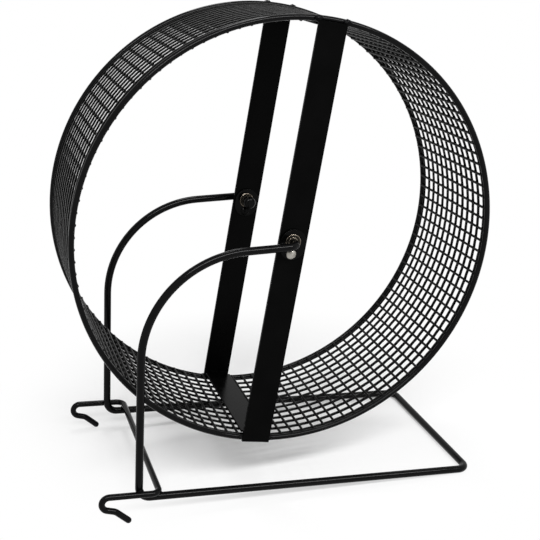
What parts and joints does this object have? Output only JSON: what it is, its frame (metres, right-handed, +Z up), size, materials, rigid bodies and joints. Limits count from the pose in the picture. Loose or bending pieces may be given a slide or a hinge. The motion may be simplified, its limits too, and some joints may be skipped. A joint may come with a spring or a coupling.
{
  "type": "rodent exercise wheel",
  "caption": "Wire mesh running wheel for small rodents, turning on ball bearings between the arms of a bent rod stand that stands on the floor or hooks on a cage.",
  "frame": {"origin": "on the floor, below the middle of the axle", "axes": "+Z up, +Y along the axle to the rear, +X along the foot away from the hooks"},
  "size_m": [0.3, 0.154, 0.3388],
  "materials": {
    "coated_wire": "semi-gloss black coating on steel wire",
    "enamelled_bar": "gloss black enamel on flat steel bar",
    "zinc_steel": "bright zinc plating",
    "bearing_steel": "ground steel",
    "vinyl_cap": "soft black vinyl"
  },
  "bodies": {
    "stand": {"stand_rod": "coated_wire", "hook_wire": "coated_wire", "hook_welds": "coated_wire", "front_axle_cap": "vinyl_cap", "front_retainer": "zinc_steel", "front_spacer": "zinc_steel", "front_bearing_inner_race": "bearing_steel", "rear_axle_cap": "vinyl_cap", "rear_retainer": "zinc_steel", "rear_spacer": "zinc_steel", "rear_bearing_inner_race": "bearing_steel"},
    "wheel": {"front_rim": "coated_wire", "front_rim_welds": "coated_wire", "front_spoke_bar": "enamelled_bar", "front_bearing_plate": "enamelled_bar", "front_keeper_rivet": "zinc_steel", "front_bearing_outer_race": "bearing_steel", "front_bearing_shields": "bearing_steel", "rear_rim": "coated_wire", "rear_rim_welds": "coated_wire", "rear_spoke_bar": "enamelled_bar", "rear_bearing_plate": "enamelled_bar", "rear_keeper_rivet": "enamelled_bar", "rear_bearing_outer_race": "bearing_steel", "rear_bearing_shields": "bearing_steel", "hoop_01": "coated_wire", "hoop_02": "coated_wire", "hoop_03": "coated_wire", "hoop_04": "coated_wire", "hoop_05": "coated_wire", "hoop_06": "coated_wire", "hoop_07": "coated_wire", "hoop_08": "coated_wire", "hoop_09": "coated_wire", "hoop_10": "coated_wire", "hoop_11": "coated_wire", "hoop_12": "coated_wire", "hoop_13": "coated_wire", "cross_wires": "coated_wire", "top_strap": "enamelled_bar", "bottom_strap": "enamelled_bar"},
    "front_balls": {"front_bearing_balls": "bearing_steel", "front_bearing_cage": "zinc_steel"},
    "rear_balls": {"rear_bearing_balls": "bearing_steel", "rear_bearing_cage": "zinc_steel"}
  },
  "joints": [
    {"name": "wheel_spin", "type": "hinge", "parent": "stand", "child": "wheel", "pos_m": [0, 0, 0.18847], "axis": [0, 1, 0], "continuous": true},
    {"name": "front_ball_orbit", "type": "hinge", "parent": "stand", "child": "front_balls", "pos_m": [0, 0, 0.18847], "axis": [0, 1, 0], "continuous": true},
    {"name": "rear_ball_orbit", "type": "hinge", "parent": "stand", "child": "rear_balls", "pos_m": [0, 0, 0.18847], "axis": [0, 1, 0], "continuous": true}
  ],
  "couplings": [
    {"joint": "front_ball_orbit", "follows": "wheel_spin", "ratio": 0.6},
    {"joint": "rear_ball_orbit", "follows": "wheel_spin", "ratio": 0.6}
  ]
}
